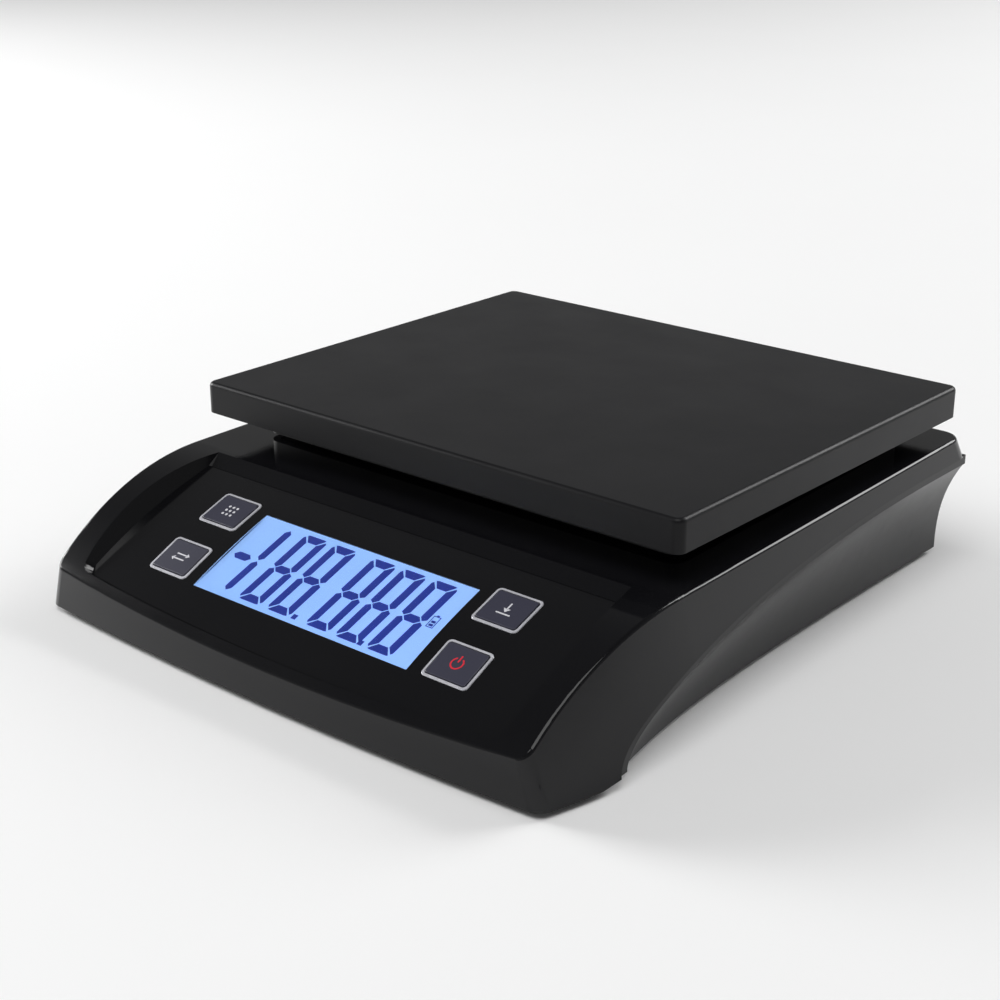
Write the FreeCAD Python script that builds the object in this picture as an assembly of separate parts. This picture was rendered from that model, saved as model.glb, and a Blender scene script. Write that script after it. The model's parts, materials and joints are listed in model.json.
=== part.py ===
import FreeCAD, Part
import math
import os
from FreeCAD import Placement, Rotation, Vector

# A compact counting scale: an arched plastic case in two halves, a curved control panel with a
# display and four keys, and a weighing platform carried by a load cell.
# Millimetres. +X is the user's right, +Y points away from the user, Z=0 is the table.

os.makedirs("parts", exist_ok=True)

# ---------------------------------------------------------------- case outline, seen from above
CASE_FRONT = -121.0        # foremost point of the gently bulged front
FRONT_RADIUS = 1412.0      # bulge of the front
CASE_REAR = 118.5          # rear face at REF_Z
HALF_WIDTH = 102.45        # side faces at REF_Z, behind TAPER_START
TAPER_START = -51.5        # ahead of this the sides curve inwards
TAPER_RADIUS = 212.0
REF_Z = 44.0               # height at which the widths above are given
LEAN = 0.29                # the sides and rear spread this much per mm going down
FRONT_CORNER = 5.0
REAR_CORNER = 8.0
TOP_EDGE = 1.2             # rounding where the arched top meets the sides
CASE_BOTTOM = 2.0
WALL = 2.6
FLOOR = 2.6

# ---------------------------------------------------------------- arched top, seen from the side
ARCH_Y = -51.5             # centre of the arch's curved front part
ARCH_RADIUS = 96.5
ARCH_TOP = 42.6            # height of the arch's circle at its middle
DECK_SLOPE = 0.019         # the deck rises gently to the rear, tangent to the circle

# ---------------------------------------------------------------- line between the case halves
SWEEP_Y = 102.6            # centre of the half-ellipses that the parting line and rim follow
SWEEP_A = 192.0
SWEEP_B = 36.5
FOOT_TIP = -96.4           # where the upper case's side stops touching down
RIM_A = 186.0              # lower edge of the plain rim under the parting line
RIM_B = 33.6
RIM_TIP = -83.32
RIM_INSET = 1.2
RIM_STEP = 0.4
RIM_LEDGE = 0.3

# ---------------------------------------------------------------- coved flanks of the lower case
FLANK_REAR = 94.5          # half width of the footprint far back
FLANK_FLARE = 9.2          # extra half width at FLARE_Y
FLARE_Y = -70.8
FLARE_LENGTH = 48.0
COVE_POWER = 2.6
FLANK_WALL = 2.2
FLANK_STATIONS = 14
BASE_REAR = 117.4
TUB_REAR = -88.0           # the tub inside the front skirt ends here
TUB_TOP = 9.0

# ---------------------------------------------------------------- control panel (own frame)
PANEL_Y = -89.5            # middle of the panel's surface
PANEL_Z = 28.7
PANEL_TILT = 23.46
PANEL_RADIUS = 270.0
PANEL_THICK = 1.5
TRAY_THICK = 2.2
RECESS_HALF = 88.5         # half width of the recess at the panel's level
RECESS_FRONT = -31.8
RECESS_BULGE = 968.0
RECESS_CORNER = 5.0
RECESS_SLANT = 0.577       # the recess walls open outwards by this per mm
RAMP_FOOT = 30.4           # the panel ends here and a ramp climbs to the deck
RAMP_END = 44.0
RAMP_SLOPE = 0.148

# ---------------------------------------------------------------- display and keys (panel frame)
WINDOW = (91.6, 35.0)
WINDOW_V = 0.3
WINDOW_THICK = 0.6
LCD_SIZE = (93.8, 37.4, 2.2)
LCD_TOP = -1.3             # the glass is flat, just under the thin curved window
LCD_LEDGE = 1.0            # how much less deep its upper plate is than the lower
BACKLIGHT_SIZE = (91.0, 29.0)
BOARD_TOP = -7.8
BOARD_SIZE = (162.0, 47.0, 1.6)
KEY_SIZE = (17.4, 14.7)
KEY_RIM = 0.85
KEY_CORNER = 1.7
KEY_PROUD = 0.45
KEYS = {
    "count": (-59.4, 14.0),
    "unit": (-59.4, -9.6),
    "tare": (59.4, 14.0),
    "power": (59.4, -9.6),
}

# ---------------------------------------------------------------- weighing platform
PLATE_Y = 32.6             # centre of the platform
PLATE_SIZE = (200.0, 164.5)
PLATE_TOP = 64.0
PLATE_DEEP = 10.8
PLATE_SKIN = 2.6
PLATE_WALL = 2.4
PLATE_CORNER = 3.2
PLATE_EDGE = 1.5           # rounding along the top's edge
RIB_THICK = 2.0            # of the ribs that keep the platform in place on its carrier
RIB_PLAY = 0.6
CARRIER_SIZE = (176.0, 132.0)
CARRIER_TOP = 60.0
CARRIER_GAP = 1.5          # under the carrier's rim
PAD_THICK = 1.1
STOP_GAP = 0.8

# ---------------------------------------------------------------- load cell and its mounting
CELL_SIZE = (12.7, 80.0, 12.7)
CELL_BOTTOM = 13.0
SPACER_THICK = 5.3
BOSS_SIZE = (28.0, 26.0)
BOSS_BOTTOM = CELL_BOTTOM + CELL_SIZE[2] + SPACER_THICK
CELL_SCREWS_FIXED = (60.0, 68.0)
CELL_SCREWS_FREE = (-3.0, 5.0)
CELL_BORE = 4.6            # radius of the beam's two joined holes
CELL_BORE_HALF = 8.0       # half the distance between them

# ---------------------------------------------------------------- batteries and small parts
AA_RADIUS = 7.2
AA_LENGTH = 50.0
BAY_X = (12.0, 70.0)
BAY_Y = (-77.0, -42.0)
BAY_TOP = 21.0
BATTERY_Y = (-67.4, -51.6)
SPRING_RADIUS = 3.4
SPRING_WIRE = 0.35         # radius of the wire
SPRING_PITCH = 1.35
SPRING_TURNS = 4
DOOR_Z = (2.2, 4.2)
CELL_AXIS_Z = DOOR_Z[1] + 0.5 + AA_RADIUS
FOOT_SPOTS = ((-86.0, -99.0), (86.0, -99.0), (-80.0, 98.0), (80.0, 98.0))
FOOT_RADIUS = 7.0
SCREW_SPOTS = ((-96.5, -84.0), (96.5, -84.0), (-86.0, 6.0), (86.0, 6.0), (-82.0, 80.0), (82.0, 80.0))
JACK_X = 58.0
JACK_Z = 13.0


# ================================================================ helpers
def box(x0, x1, y0, y1, z0, z1):
    return Part.makeBox(x1 - x0, y1 - y0, z1 - z0, Vector(x0, y0, z0))


def rod(radius, x, y, z0, z1):
    return Part.makeCylinder(radius, z1 - z0, Vector(x, y, z0))


def rounded(width, depth, z0, z1, radius, cx=0.0, cy=0.0):
    """A block with rounded upright edges, centred on cx, cy."""
    block = box(cx - width / 2, cx + width / 2, cy - depth / 2, cy + depth / 2, z0, z1)
    upright = [e for e in block.Edges if abs(e.Vertexes[0].Z - e.Vertexes[1].Z) > 1e-6]
    return block.makeFillet(radius, upright)


def line(a, b):
    return Part.makeLine(Vector(*a), Vector(*b))


def arc(a, b, c):
    return Part.Arc(Vector(*a), Vector(*b), Vector(*c)).toShape()


def along_x(edges, half=130.0):
    """Extrude a closed profile, drawn as (y, z, 0), across the whole width."""
    solid = Part.Face(Part.Wire(edges)).extrude(Vector(0, 0, 2 * half))
    solid.translate(Vector(0, 0, -half))
    solid.rotate(Vector(0, 0, 0), Vector(1, 1, 1), 120)
    return solid


def fuse(shapes):
    return shapes[0].multiFuse(shapes[1:]).removeSplitter() if len(shapes) > 1 else shapes[0]


def tube(points, radius):
    """A round cord through the points."""
    curve = Part.BSplineCurve()
    curve.interpolate([Vector(*p) for p in points])
    path = Part.Wire(curve.toShape())
    start = curve.tangent(0)[0]
    ring = Part.Wire(Part.makeCircle(radius, Vector(*points[0]), start))
    return path.makePipeShell([ring], True, True)


def save(name, shape):
    solids = shape.Solids
    if not solids or not shape.isValid():
        raise ValueError(name + " is not a valid solid")
    shape = solids[0] if len(solids) == 1 else Part.makeCompound(solids)
    shape.exportStep("parts/" + name + ".step")
    print(name, len(solids), round(shape.Volume, 1))


PANEL = Placement(Vector(0, PANEL_Y, PANEL_Z), Rotation(Vector(1, 0, 0), PANEL_TILT))


def on_panel(shape):
    """Carry a shape drawn in the panel's own frame to its place on the scale."""
    moved = shape.copy()
    moved.Placement = PANEL.multiply(moved.Placement)
    return moved


def panel_drop(v):
    """How far the curved panel lies below its middle, v mm up the slope."""
    return PANEL_RADIUS - math.sqrt(PANEL_RADIUS ** 2 - v ** 2)


def on_key(shape, u, v):
    """Carry a shape drawn around a key's centre, z=0 on the panel's surface, to its place."""
    moved = shape.copy()
    seat = Placement(Vector(u, v, -panel_drop(v)), Rotation(Vector(1, 0, 0), -math.degrees(v / PANEL_RADIUS)))
    moved.Placement = PANEL.multiply(seat)
    return moved


# ================================================================ shared case surfaces
def side_x(y, grow):
    """Half width of the case outline at y, with the outline moved out by grow."""
    if y >= TAPER_START:
        return HALF_WIDTH + grow
    return HALF_WIDTH - TAPER_RADIUS + math.sqrt((TAPER_RADIUS + grow) ** 2 - (TAPER_START - y) ** 2)


def front_y(x, inset):
    return CASE_FRONT + FRONT_RADIUS - math.sqrt((FRONT_RADIUS - inset) ** 2 - x ** 2)


def outline(z, inset):
    grow = LEAN * (REF_Z - z) - inset
    rear = CASE_REAR + grow
    corner_y = CASE_FRONT
    for _ in range(12):
        corner_x = side_x(corner_y, grow)
        corner_y = front_y(corner_x, inset)
    middle_y = (TAPER_START + corner_y) / 2
    wide = HALF_WIDTH + grow
    middle_x = side_x(middle_y, grow)
    return Part.Wire([
        line((wide, rear, z), (wide, TAPER_START, z)),
        arc((wide, TAPER_START, z), (middle_x, middle_y, z), (corner_x, corner_y, z)),
        arc((corner_x, corner_y, z), (0, front_y(0, inset), z), (-corner_x, corner_y, z)),
        arc((-corner_x, corner_y, z), (-middle_x, middle_y, z), (-wide, TAPER_START, z)),
        line((-wide, TAPER_START, z), (-wide, rear, z)),
        line((-wide, rear, z), (wide, rear, z)),
    ])


def envelope(inset, bottom=CASE_BOTTOM, top=50.0):
    """The leaning outer walls of the case, as a solid block, moved in by inset."""
    block = Part.makeLoft([outline(bottom, inset), outline(top, inset)], True, True)
    upright = [e for e in block.Edges if abs(e.Vertexes[0].Z - e.Vertexes[1].Z) > 1]
    front = [e for e in upright if e.Vertexes[0].Y < CASE_FRONT + 20]
    block = block.makeFillet(max(FRONT_CORNER - inset, 1.0), front)
    rear = [e for e in block.Edges
            if abs(e.Vertexes[0].Z - e.Vertexes[-1].Z) > 1 and e.Vertexes[0].Y > CASE_REAR - 20]
    return block.makeFillet(max(REAR_CORNER - inset, 1.0), rear)


def deck_start():
    """Where the level deck leaves the arch's circle, as y and z."""
    lean = math.atan(DECK_SLOPE)
    return ARCH_Y - ARCH_RADIUS * math.sin(lean), ARCH_TOP - ARCH_RADIUS * (1 - math.cos(lean))


def deck_z(y):
    start_y, start_z = deck_start()
    return start_z + DECK_SLOPE * (y - start_y)


def under_arch(drop):
    """Everything below the arched top, lowered by drop."""
    radius = ARCH_RADIUS - drop
    centre_z = ARCH_TOP - ARCH_RADIUS
    low_y = -138.0
    half = math.radians(33.0)
    low_z = centre_z + math.sqrt(radius ** 2 - (low_y - ARCH_Y) ** 2)
    mid = (ARCH_Y - radius * math.sin(half), centre_z + radius * math.cos(half), 0)
    lean = math.atan(DECK_SLOPE)
    top = (ARCH_Y - radius * math.sin(lean), centre_z + radius * math.cos(lean), 0)
    far = (140.0, top[1] + DECK_SLOPE * (140.0 - top[0]), 0)
    return along_x([
        line((low_y, -60, 0), (low_y, low_z, 0)),
        arc((low_y, low_z, 0), mid, top),
        line(top, far),
        line(far, (140, -60, 0)),
        line((140, -60, 0), (low_y, -60, 0)),
    ])


def sweep_z(y):
    """Height of the parting line at y."""
    reach = min(max(SWEEP_Y - y, 0.0) / SWEEP_A, 1.0)
    return CASE_BOTTOM + SWEEP_B * math.sqrt(1 - reach ** 2)


def below_ellipse(half_length, height, tip_y):
    """Everything below a half-ellipse that rises from the foot and runs level at the rear."""
    start_y = SWEEP_Y - half_length * 0.9995
    first = math.acos((start_y - SWEEP_Y) / half_length)
    start_z = CASE_BOTTOM + height * math.sin(first)
    apex = CASE_BOTTOM + height
    ellipse = Part.Ellipse(Vector(SWEEP_Y, CASE_BOTTOM, 0), half_length, height)
    tip = (tip_y, CASE_BOTTOM - 0.01, 0)
    return along_x([
        Part.ArcOfEllipse(ellipse, math.pi / 2, first).toShape(),
        line((start_y, start_z, 0), tip),
        line(tip, (tip_y, -20, 0)),
        line((tip_y, -20, 0), (140, -20, 0)),
        line((140, -20, 0), (140, apex, 0)),
        line((140, apex, 0), (SWEEP_Y, apex, 0)),
    ])


def below_sweep():
    return below_ellipse(SWEEP_A, SWEEP_B, FOOT_TIP)


# ================================================================ control panel recess
def recess_outline(w, grow):
    half = RECESS_HALF + RECESS_SLANT * w + grow
    front = RECESS_FRONT - RECESS_SLANT * w - grow
    corner = front + half ** 2 / (2 * RECESS_BULGE)
    rear = RAMP_END + 20
    return Part.Wire([
        line((half, rear, w), (half, corner, w)),
        arc((half, corner, w), (0, front, w), (-half, corner, w)),
        line((-half, corner, w), (-half, rear, w)),
        line((-half, rear, w), (half, rear, w)),
    ])


def recess_walls(grow):
    """A block bounded by the recess's slanted walls, in the panel's frame."""
    block = Part.makeLoft([recess_outline(-8.0, grow), recess_outline(14.0, grow)], True, True)
    front = [e for e in block.Edges
             if abs(e.Vertexes[0].Z - e.Vertexes[-1].Z) > 1 and e.Vertexes[0].Y < 0]
    return block.makeFillet(RECESS_CORNER, front)


def above_panel(drop, ramp_drop=None):
    """The space above the panel's curve lowered by drop, and above the ramp, in the panel's frame."""
    ramp_drop = drop if ramp_drop is None else ramp_drop
    far = RAMP_END + 10
    low = (-44.0, -panel_drop(44.0) - drop, 0)
    foot = (RAMP_FOOT, -panel_drop(RAMP_FOOT) - drop, 0)
    start = (RAMP_FOOT, foot[1] + drop - ramp_drop, 0)
    end = (far, start[1] + RAMP_SLOPE * (far - RAMP_FOOT), 0)
    edges = [arc(low, (0, -drop, 0), foot)]
    if ramp_drop != drop:
        edges.append(line(foot, start))
    edges.append(line(start, end))
    edges.append(line(end, (far, 40, 0)))
    edges.append(line((far, 40, 0), (-44, 40, 0)))
    edges.append(line((-44, 40, 0), low))
    return along_x(edges, 110.0)


def panel_layer(top_drop, thick, u_half, v_half, cv):
    """A curved plate following the panel, u_half by v_half around (0, cv), in the panel's frame."""
    plate = box(-u_half, u_half, cv - v_half, cv + v_half, -20, 20)
    return plate.common(above_panel(top_drop + thick)).cut(above_panel(top_drop))


# ================================================================ upper case
def soften(shape, radius, wanted):
    """Round the edges for which wanted(edge) holds."""
    return shape.makeFillet(radius, [e for e in shape.Edges if wanted(e)])


def on_top_rim(edge):
    """True for the edges where the arched top meets the sides, front and rear."""
    points = [edge.valueAt(edge.FirstParameter + k * (edge.LastParameter - edge.FirstParameter) / 4)
              for k in range(5)]
    return all(abs(p.z - arch_z(p.y)) < 0.02 for p in points)


def arch_z(y):
    if y > deck_start()[0]:
        return deck_z(y)
    return ARCH_TOP - ARCH_RADIUS + math.sqrt(ARCH_RADIUS ** 2 - (y - ARCH_Y) ** 2)


def upper_case():
    outside = soften(envelope(0).common(under_arch(0)), TOP_EDGE, on_top_rim).cut(below_sweep())
    inside = envelope(WALL, bottom=0.0).common(under_arch(WALL))
    shell = outside.cut(inside)
    tray = on_panel(recess_walls(WALL).common(above_panel(PANEL_THICK + TRAY_THICK, TRAY_THICK)))
    shell = shell.fuse(tray.common(outside))
    for x, y in SCREW_SPOTS:
        pillar = rod(4.0, x, y, 15.0, 50.0).common(under_arch(1.0)).cut(inside_recess())
        shell = shell.fuse(pillar.common(envelope(1.0)))
    shell = shell.cut(inside_recess())
    shell = cut_panel_openings(shell)
    shell = shell.fuse(board_pillars())
    for x, y in SCREW_SPOTS:
        shell = shell.cut(rod(1.3, x, y, 10.0, 26.0))
    shell = shell.cut(rounded(BOSS_SIZE[0] + 8, BOSS_SIZE[1] + 8, 30, 60, 4.0, 0, 1.0))
    for x, y in stop_spots():
        shell = shell.cut(rod(4.6, x, y, deck_z(y) - 1.3, deck_z(y) + 3))
    return largest(shell)


def largest(shape):
    return max(shape.Solids, key=lambda s: s.Volume)


def inside_recess():
    return on_panel(recess_walls(0).common(above_panel(PANEL_THICK, 0.0)))


def cut_panel_openings(shell):
    window = box(-LCD_SIZE[0] / 2 - 0.5, LCD_SIZE[0] / 2 + 0.5,
                 WINDOW_V - LCD_SIZE[1] / 2 - 0.5, WINDOW_V + LCD_SIZE[1] / 2 + 0.5, -12, 6)
    shell = shell.cut(on_panel(window))
    for u, v in KEYS.values():
        hole = rounded(KEY_SIZE[0] - 2 * KEY_RIM, KEY_SIZE[1] - 2 * KEY_RIM, -12, 6, 1.0)
        shell = shell.cut(on_key(hole, u, v))
    return shell


def board_spots():
    return [(sx * 76.0, sy * 19.5) for sx in (-1, 1) for sy in (-1, 1)]


def board_pillars():
    """Short pillars under the panel tray that the circuit board is screwed to."""
    pillars = []
    for u, v in board_spots():
        pillar = rod(3.0, u, v, BOARD_TOP, -3.0 - panel_drop(v))
        pillars.append(pillar.cut(rod(1.0, u, v, BOARD_TOP - 1, BOARD_TOP + 3.2)))
    return on_panel(Part.makeCompound(pillars))


def stop_spots():
    half_x = CARRIER_SIZE[0] / 2 - 10
    half_y = CARRIER_SIZE[1] / 2 - 10
    return [(sx * half_x, PLATE_Y + sy * half_y) for sx in (-1, 1) for sy in (-1, 1)]


# ================================================================ lower case
def flank_x(y):
    """Half width of the footprint."""
    return FLANK_REAR + FLANK_FLARE * math.exp(-(y - FLARE_Y) / FLARE_LENGTH)


def rim_x(y):
    """Half width of the upright rim just under the parting line."""
    return side_x(y, LEAN * (REF_Z - max(sweep_z(y), 6.0))) - RIM_INSET


def flank_y(angle):
    return SWEEP_Y - RIM_A * math.cos(angle)


def flank_angles(first):
    """Evenly spaced angles on the rim's ellipse, from the foot to past the rear."""
    return [math.radians(first + k * (98.0 - first) / (FLANK_STATIONS - 1)) for k in range(FLANK_STATIONS)]


def rim_block(inset):
    """An upright block whose sides follow the rim, seen from above."""
    ends = [-98.0, -91.0]
    stations = ends + [flank_y(angle) for angle in flank_angles(6.0)]
    sides = []
    for sign in (1, -1):
        curve = Part.BSplineCurve()
        curve.interpolate([Vector(sign * (rim_x(y) - inset), y, 0) for y in stations])
        sides.append(curve.toShape())
    front, rear = stations[0], stations[-1]
    front_x, rear_x = rim_x(front) - inset, rim_x(rear) - inset
    return Part.Face(Part.Wire([
        sides[0],
        line((rear_x, rear, 0), (-rear_x, rear, 0)),
        sides[1],
        line((-front_x, front, 0), (front_x, front, 0)),
    ])).extrude(Vector(0, 0, 45))


def flank_block(inset, floor, first):
    """The case below its rim: upright at the floor, coving out to the rim's edge."""
    rows = []
    for angle in flank_angles(first):
        y = flank_y(angle)
        rise = CASE_BOTTOM + RIM_B * math.sin(angle) - floor
        base = flank_x(y) - inset
        flare = rim_x(y) - RIM_LEDGE - inset - base
        steps = [k / 5 for k in range(6)]
        rows.append([Vector(base + flare * t ** COVE_POWER, y, floor + rise * t) for t in steps])
    surface = Part.BSplineSurface()
    surface.interpolate(rows)
    right = surface.toShape().extrude(Vector(-60, 0, 0))
    left = right.mirror(Vector(0, 0, 0), Vector(1, 0, 0))
    middle = box(-52, 52, rows[0][0].y, 120, floor, 45)
    return fuse([middle, right, left])


def rear_limit(inset):
    """Everything in front of the lower case's gently coved rear face."""
    rim = CASE_REAR + LEAN * (REF_Z - CASE_BOTTOM - SWEEP_B) - RIM_INSET - inset
    base = BASE_REAR - inset
    knee = CASE_BOTTOM + RIM_B - RIM_STEP
    return along_x([
        line((-150, -10, 0), (base, -10, 0)),
        line((base, -10, 0), (base, 12, 0)),
        arc((base, 12, 0), (base + (rim - base) * 0.27, 24, 0), (rim, knee, 0)),
        line((rim, knee, 0), (rim, 60, 0)),
        line((rim, 60, 0), (-150, 60, 0)),
        line((-150, 60, 0), (-150, -10, 0)),
    ])


def lower_case():
    floor = CASE_BOTTOM + FLOOR
    fit = WALL + 0.3
    under_rim = below_ellipse(RIM_A, RIM_B - RIM_STEP, RIM_TIP)
    rim = rim_block(0).cut(under_rim).common(box(-130, 130, -130, 130, CASE_BOTTOM, 60))
    shell = flank_block(0, CASE_BOTTOM, 1.0).fuse(rim)
    shell = shell.common(rear_limit(0)).common(below_sweep())
    tub = envelope(fit).common(box(-130, 130, -130, TUB_REAR + 0.2, 0, TUB_TOP))
    shell = shell.fuse(tub)
    flank_hollow = flank_block(FLANK_WALL, floor, 8.0).common(rear_limit(FLANK_WALL))
    rim_hollow = rim_block(FLANK_WALL + RIM_STEP / 2).cut(under_rim).common(rear_limit(FLANK_WALL))
    rim_hollow = rim_hollow.common(box(-130, 130, TUB_REAR, 130, floor, 60))
    tub_hollow = envelope(fit + FLANK_WALL).common(box(-130, 130, -130, TUB_REAR + 0.4, floor, 30))
    for hollow in (flank_hollow, rim_hollow, tub_hollow):
        shell = shell.cut(hollow)
    shell = shell.fuse([battery_bay(), cell_plinth()] + screw_towers()).common(rear_limit(0))
    shell = shell.removeSplitter().cut(bay_space())
    for x, y in SCREW_SPOTS:
        shell = shell.cut(rod(1.7, x, y, 0, 20)).cut(rod(3.4, x, y, 0, 8.0))
    for x, y in FOOT_SPOTS:
        shell = shell.cut(rod(FOOT_RADIUS + 0.1, x, y, 0, CASE_BOTTOM + 1.0))
    for y in CELL_SCREWS_FIXED:
        shell = shell.cut(rod(2.3, 0, y, 0, 20)).cut(rod(4.4, 0, y, 0, 5.5))
    return largest(shell.cut(jack_hole()))


def battery_bay():
    """The box that holds the cells, standing on the floor."""
    return box(BAY_X[0] - 1.6, BAY_X[1] + 1.6, BAY_Y[0] - 1.6, BAY_Y[1] + 1.6, CASE_BOTTOM, BAY_TOP + 1.6)


def bay_space():
    """The inside of the bay, its opening, the door's rebate and the slots for the contacts."""
    inside = box(BAY_X[0], BAY_X[1], BAY_Y[0], BAY_Y[1], 0, BAY_TOP)
    rebate = box(BAY_X[0] - 1.2, BAY_X[1] + 1.2, BAY_Y[0] - 1.2, BAY_Y[1] + 1.2, 0, DOOR_Z[1] + 0.3)
    exits = box(BAY_X[1] - 1, BAY_X[1] + 3, BATTERY_Y[0] - 2, BATTERY_Y[0] + 2, 16, 19)
    exits = exits.fuse(box(BAY_X[1] - 1, BAY_X[1] + 3, BATTERY_Y[1] - 2, BATTERY_Y[1] + 2, 16, 19))
    return fuse([inside, rebate, exits])


def cell_plinth():
    return rounded(30, 30, CASE_BOTTOM, CELL_BOTTOM - 4.0, 3.0, 0, 64)


def screw_towers():
    towers = []
    for x, y in SCREW_SPOTS:
        towers.append(rod(5.4, x, y, CASE_BOTTOM, 14.8).common(envelope(RIM_INSET + 1.0)))
    return towers


def jack_hole():
    return Part.makeCylinder(4.2, 12, Vector(JACK_X, BASE_REAR - 8, JACK_Z), Vector(0, 1, 0))


# ================================================================ panel pieces
def control_panel():
    face = recess_walls(-0.15).common(above_panel(PANEL_THICK)).cut(above_panel(0))
    face = face.common(box(-110, 110, -60, RAMP_FOOT - 0.2, -20, 20))
    face = face.cut(window_block(0.1))
    width, depth = LCD_SIZE[0] + 0.6, LCD_SIZE[1] + 0.6
    face = face.cut(box(-width / 2, width / 2, WINDOW_V - depth / 2, WINDOW_V + depth / 2, -6, LCD_TOP + 0.1))
    face = on_panel(face)
    for u, v in KEYS.values():
        face = face.cut(on_key(rounded(KEY_SIZE[0] + 0.1, KEY_SIZE[1] + 0.1, -4, 4, KEY_CORNER), u, v))
    return largest(face)


def window_block(grow):
    return box(-WINDOW[0] / 2 - grow, WINDOW[0] / 2 + grow,
               WINDOW_V - WINDOW[1] / 2 - grow, WINDOW_V + WINDOW[1] / 2 + grow, -6, 6)


def display_window():
    return on_panel(panel_layer(0, WINDOW_THICK, WINDOW[0] / 2, WINDOW[1] / 2, WINDOW_V))


def flat_on_panel(width, depth, z0, z1, v=0.0, u=0.0):
    return on_panel(box(u - width / 2, u + width / 2, v - depth / 2, v + depth / 2, z0, z1))


def lcd_glass():
    """Two bonded glass plates, the lower one reaching further to carry the contacts."""
    width, depth, thick = LCD_SIZE
    upper = flat_on_panel(width, depth - LCD_LEDGE, LCD_TOP - thick / 2, LCD_TOP, WINDOW_V)
    lower = flat_on_panel(width, depth, LCD_TOP - thick, LCD_TOP - thick / 2, WINDOW_V)
    return upper.fuse(lower).removeSplitter()


def backlight():
    bottom = BOARD_TOP + 0.1
    return flat_on_panel(BACKLIGHT_SIZE[0], BACKLIGHT_SIZE[1], bottom, LCD_TOP - LCD_SIZE[2], WINDOW_V)


def display_frame():
    outer = on_panel(rounded(LCD_SIZE[0] + 4.6, LCD_SIZE[1] + 4.6, BOARD_TOP, -4.9, 1.2, 0, WINDOW_V))
    inner = flat_on_panel(LCD_SIZE[0] + 0.3, LCD_SIZE[1] + 0.3, BOARD_TOP - 1, 0, WINDOW_V)
    return outer.cut(inner)


def contact_strip(side):
    v = WINDOW_V + side * (LCD_SIZE[1] / 2 - 1.4)
    return flat_on_panel(86.0, 2.0, BOARD_TOP, LCD_TOP - LCD_SIZE[2], v)


def key_bezel(u, v):
    width, depth = KEY_SIZE
    ring = rounded(width, depth, -PANEL_THICK + 0.05, 0.22, KEY_CORNER)
    ring = ring.makeChamfer(0.18, [e for e in ring.Edges if min(p.Z for p in e.Vertexes) > 0.2])
    hole = rounded(width - 2 * KEY_RIM, depth - 2 * KEY_RIM, -4, 4, KEY_CORNER - KEY_RIM + 0.2)
    return on_key(ring.cut(hole), u, v)


def key_cap(u, v):
    """A low domed cap with a flange below the tray that keeps it in."""
    width = KEY_SIZE[0] - 2 * KEY_RIM - 0.6
    depth = KEY_SIZE[1] - 2 * KEY_RIM - 0.6
    cap = rounded(width, depth, -4.5, KEY_PROUD, 0.8)
    cap = cap.makeFillet(0.3, [e for e in cap.Edges if min(p.Z for p in e.Vertexes) > KEY_PROUD - 0.01])
    flange = rounded(width + 2.0, depth + 2.0, -5.0, -4.2, 1.0)
    hollow = rounded(width - 3.0, depth - 3.0, -6.0, -1.4, 0.6)
    nib = rod(2.0, 0, 0, -5.0, 0)
    return on_key(cap.fuse(flange).cut(hollow).fuse(nib).removeSplitter(), u, v)


def key_pad(side):
    """A silicone sheet with one dome under each of the two keys on this side."""
    sheet = rounded(22.0, 44.0, BOARD_TOP, BOARD_TOP + 0.9, 2.0, side * 60.6, 2.0)
    for u, v in KEYS.values():
        if u * side > 0:
            dome = Part.makeCone(4.2, 2.4, 0.7, Vector(u, v, BOARD_TOP + 0.8))
            sheet = sheet.fuse(dome)
    return on_panel(sheet.removeSplitter())


def main_board():
    width, depth, thick = BOARD_SIZE
    board = rounded(width, depth, BOARD_TOP - thick, BOARD_TOP, 2.0)
    for u, v in board_spots():
        board = board.cut(rod(1.2, u, v, -20, 0))
    return on_panel(board)


def board_screws():
    screws = []
    thick = BOARD_SIZE[2]
    for u, v in board_spots():
        shaft = rod(1.0, u, v, BOARD_TOP - thick, BOARD_TOP + 3.0)
        head = rod(2.2, u, v, BOARD_TOP - thick - 1.4, BOARD_TOP - thick)
        slot = box(u - 3, u + 3, v - 0.3, v + 0.3, BOARD_TOP - thick - 2, BOARD_TOP - thick - 0.8)
        screws.append(shaft.fuse(head).cut(slot).removeSplitter())
    return on_panel(Part.makeCompound(screws))


def controller_chip():
    """Glob-topped controller on the underside of the board."""
    low = BOARD_TOP - BOARD_SIZE[2]
    dome = Part.makeSphere(14.0, Vector(-10, 4, low + 11.6))
    return on_panel(dome.common(box(-25, 5, -11, 19, low - 4, low)))


def converter_chip():
    low = BOARD_TOP - BOARD_SIZE[2]
    body = box(-36, -26, -8, -4.1, low - 1.6, low)
    legs = []
    for step in range(8):
        x = -35.4 + 1.25 * step
        for y0, y1 in ((-9.2, -7.9), (-4.2, -2.9)):
            legs.append(box(x, x + 0.45, y0, y1, low - 0.35, low))
    return on_panel(fuse([body] + legs))


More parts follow.
